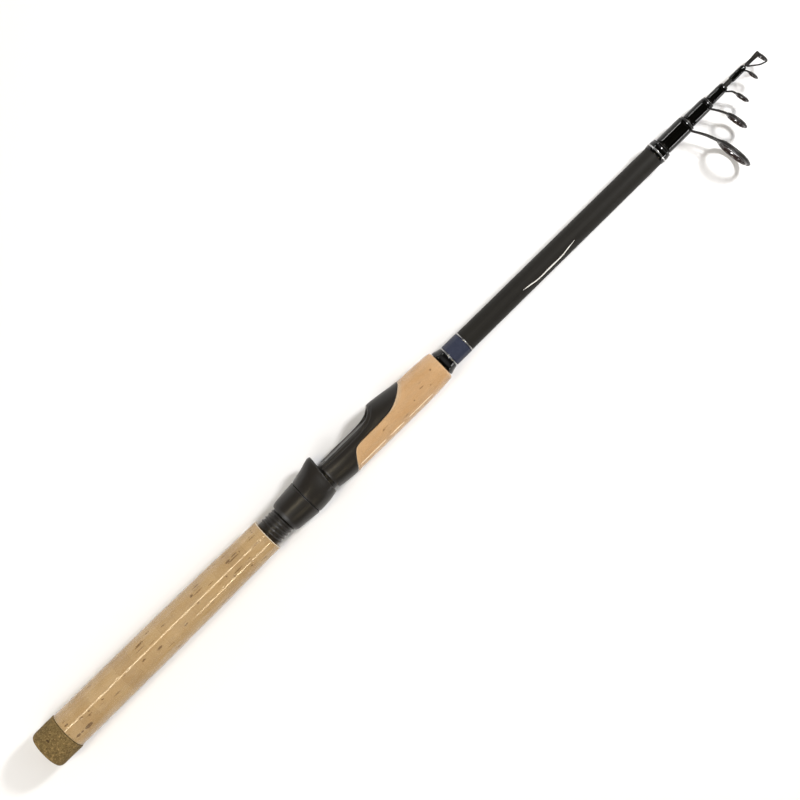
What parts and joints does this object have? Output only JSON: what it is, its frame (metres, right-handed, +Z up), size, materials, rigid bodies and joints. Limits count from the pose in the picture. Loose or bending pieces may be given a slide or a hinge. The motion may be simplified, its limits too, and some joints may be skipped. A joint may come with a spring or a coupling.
{
  "type": "telescopic spinning rod",
  "caption": "Telescopic spinning rod with cork grips, a screw-down reel seat and folding-in sections that carry line guides, stored closed and lying on its side.",
  "frame": {"origin": "middle of the object's bounding box in X and Y, on the surface that the rod lies on", "axes": "+X along the rod from the butt to the tip, +Y to the side that the reel hangs from, +Z up. The guides stand out to -Y."},
  "size_m": [0.65, 0.0657, 0.0279],
  "materials": {
    "burl_cork": "speckled burl cork, dull",
    "cork": "natural cork with long darker pits, under a clear film",
    "fore_cork": "fine pale cork, under a clear film",
    "clear_film": "clear plastic wrap, glossy",
    "seat_plastic": "dark moulded plastic, satin",
    "gloss_winding": "black thread under clear gloss resin",
    "blank": "dark glass-fibre tube, matte",
    "navy_winding": "dark blue thread under resin, satin",
    "silver_ring": "bright metal trim",
    "guide_metal": "dark plated stainless wire, satin",
    "ring_ceramic": "dark ceramic, polished",
    "rubber": "soft rubber, dull",
    "arbor_tape": "masking tape, dull",
    "base_ring": "thickened tube end, sanded"
  },
  "bodies": {
    "handle": {"handle_blank": "blank", "rear_grip": "cork", "rear_grip_film": "clear_film", "butt_bush": "seat_plastic", "reel_seat": "seat_plastic", "arbor_rear": "arbor_tape", "arbor_front": "arbor_tape", "fore_grip": "fore_cork", "fore_grip_film": "clear_film", "winding_check": "gloss_winding", "band_ring_rear": "silver_ring", "band_winding": "navy_winding", "band_ring_front": "silver_ring", "mouth_winding": "gloss_winding", "mouth_ring": "silver_ring"},
    "cap_carrier": {"buffer_pad": "rubber"},
    "cap": {"butt_cap": "burl_cork", "butt_plug": "seat_plastic"},
    "hood": {"moving_hood": "seat_plastic"},
    "nut": {"locking_nut": "seat_plastic"},
    "section_2_slide": {"section_2_base_ring": "base_ring"},
    "section_2": {"section_2_tube": "blank", "section_2_winding": "gloss_winding", "section_2_end_ring": "silver_ring", "guide_1_frame": "guide_metal", "guide_1_insert": "ring_ceramic"},
    "section_3_slide": {"section_3_base_ring": "base_ring"},
    "section_3": {"section_3_tube": "blank", "section_3_winding": "gloss_winding", "section_3_end_ring": "silver_ring", "guide_2_frame": "guide_metal", "guide_2_insert": "ring_ceramic"},
    "section_4_slide": {"section_4_base_ring": "base_ring"},
    "section_4": {"section_4_tube": "blank", "section_4_winding": "gloss_winding", "guide_3_frame": "guide_metal", "guide_3_insert": "ring_ceramic"},
    "section_5_slide": {"section_5_base_ring": "base_ring"},
    "section_5": {"section_5_tube": "blank", "section_5_winding": "gloss_winding", "guide_4_frame": "guide_metal", "guide_4_insert": "ring_ceramic"},
    "section_6_slide": {"section_6_base_ring": "base_ring"},
    "section_6": {"section_6_tip": "blank", "tip_top_frame": "guide_metal", "tip_top_insert": "ring_ceramic"}
  },
  "joints": [
    {"name": "nut_turn", "type": "hinge", "parent": "hood", "child": "nut", "pos_m": [-0.0981, 0.01561, 0.01393], "axis": [1, 0, 0], "range_deg": [-1800, 96]},
    {"name": "hood_slide", "type": "slide", "parent": "handle", "child": "hood", "axis": [1, 0, 0], "range_m": [-0.015, 0.0008]},
    {"name": "cap_turn", "type": "hinge", "parent": "cap_carrier", "child": "cap", "pos_m": [-0.315, 0.01561, 0.01393], "axis": [1, 0, 0], "range_deg": [-2160, 0]},
    {"name": "cap_slide", "type": "slide", "parent": "handle", "child": "cap_carrier", "axis": [1, 0, 0], "range_m": [-0.012, 0]},
    {"name": "section_2_slide", "type": "slide", "parent": "handle", "child": "section_2_slide", "axis": [1, 0, 0], "range_m": [0, 0.467]},
    {"name": "section_2_turn", "type": "hinge", "parent": "section_2_slide", "child": "section_2", "pos_m": [-0.025, 0.01561, 0.01393], "axis": [1, 0, 0], "continuous": true},
    {"name": "section_3_slide", "type": "slide", "parent": "section_2_slide", "child": "section_3_slide", "axis": [1, 0, 0], "range_m": [0, 0.4945]},
    {"name": "section_3_turn", "type": "hinge", "parent": "section_3_slide", "child": "section_3", "pos_m": [-0.025, 0.01561, 0.01393], "axis": [1, 0, 0], "continuous": true},
    {"name": "section_4_slide", "type": "slide", "parent": "section_3_slide", "child": "section_4_slide", "axis": [1, 0, 0], "range_m": [0, 0.518]},
    {"name": "section_4_turn", "type": "hinge", "parent": "section_4_slide", "child": "section_4", "pos_m": [-0.025, 0.01561, 0.01393], "axis": [1, 0, 0], "continuous": true},
    {"name": "section_5_slide", "type": "slide", "parent": "section_4_slide", "child": "section_5_slide", "axis": [1, 0, 0], "range_m": [0, 0.5375]},
    {"name": "section_5_turn", "type": "hinge", "parent": "section_5_slide", "child": "section_5", "pos_m": [-0.025, 0.01561, 0.01393], "axis": [1, 0, 0], "continuous": true},
    {"name": "section_6_slide", "type": "slide", "parent": "section_5_slide", "child": "section_6_slide", "axis": [1, 0, 0], "range_m": [0, 0.56]},
    {"name": "section_6_turn", "type": "hinge", "parent": "section_6_slide", "child": "section_6", "pos_m": [-0.025, 0.01561, 0.01393], "axis": [1, 0, 0], "continuous": true}
  ],
  "couplings": [
    {"joint": "hood_slide", "follows": "nut_turn", "m_per_rad": 0.00047746},
    {"joint": "cap_slide", "follows": "cap_turn", "m_per_rad": 0.00031831}
  ]
}
